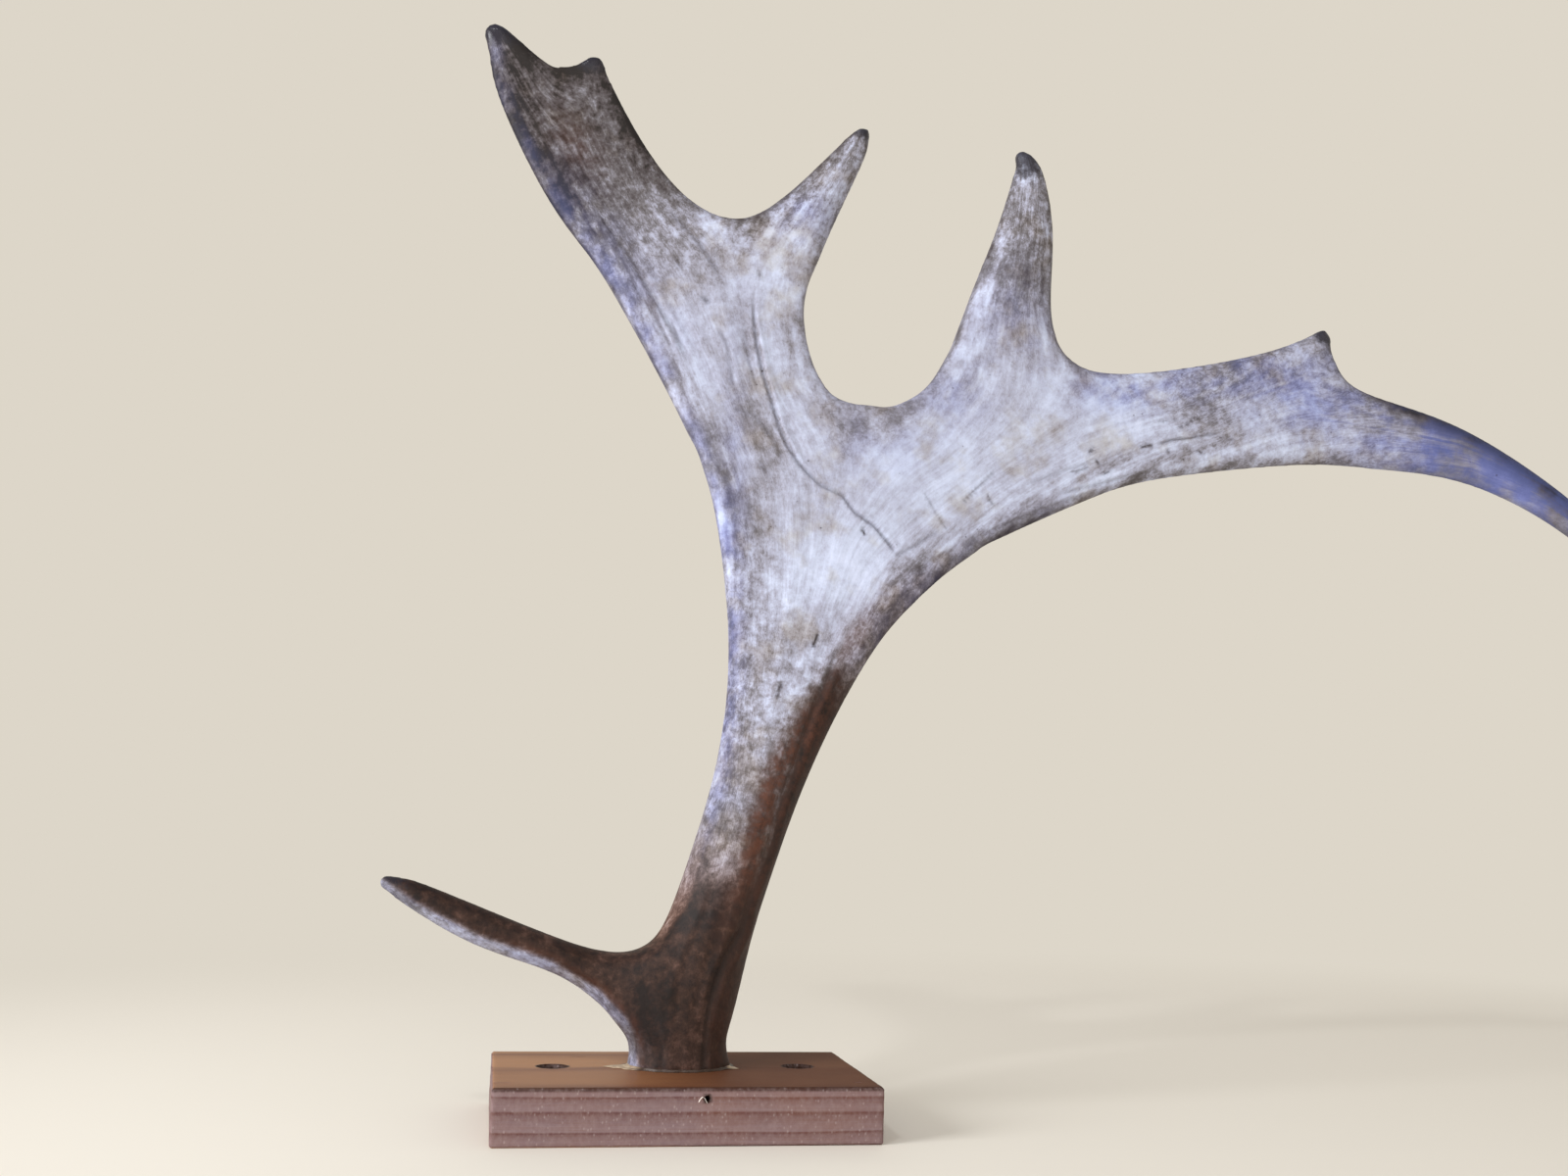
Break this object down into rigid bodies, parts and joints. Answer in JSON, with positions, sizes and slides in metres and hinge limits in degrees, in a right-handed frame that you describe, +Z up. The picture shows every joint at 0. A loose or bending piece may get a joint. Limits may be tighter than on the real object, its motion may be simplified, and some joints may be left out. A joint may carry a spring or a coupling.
{
  "type": "mounted deer antler",
  "caption": "Palmate deer antler with a forked palm, tines and a low brow tine, glued upright on a small varnished pine block with countersunk screw holes.",
  "frame": {"origin": "centre of the mounting block's underside, on the surface the block stands on", "axes": "+Z up; +X along the block's long side, towards the antler's long branch; +Y away from the antler's front"},
  "size_m": [0.4977, 0.079, 0.3979],
  "materials": {
    "antler": "weathered bone, dull, with polished dark tips",
    "dried_glue": "dull, lumpy",
    "varnished_pine": "clear satin varnish"
  },
  "bodies": {
    "root": {"main_beam": "antler", "brow_tine": "antler", "left_branch": "antler", "left_tine": "antler", "right_branch": "antler", "right_tine": "antler", "glue_bed": "dried_glue", "mounting_block": "varnished_pine"}
  },
  "joints": []
}
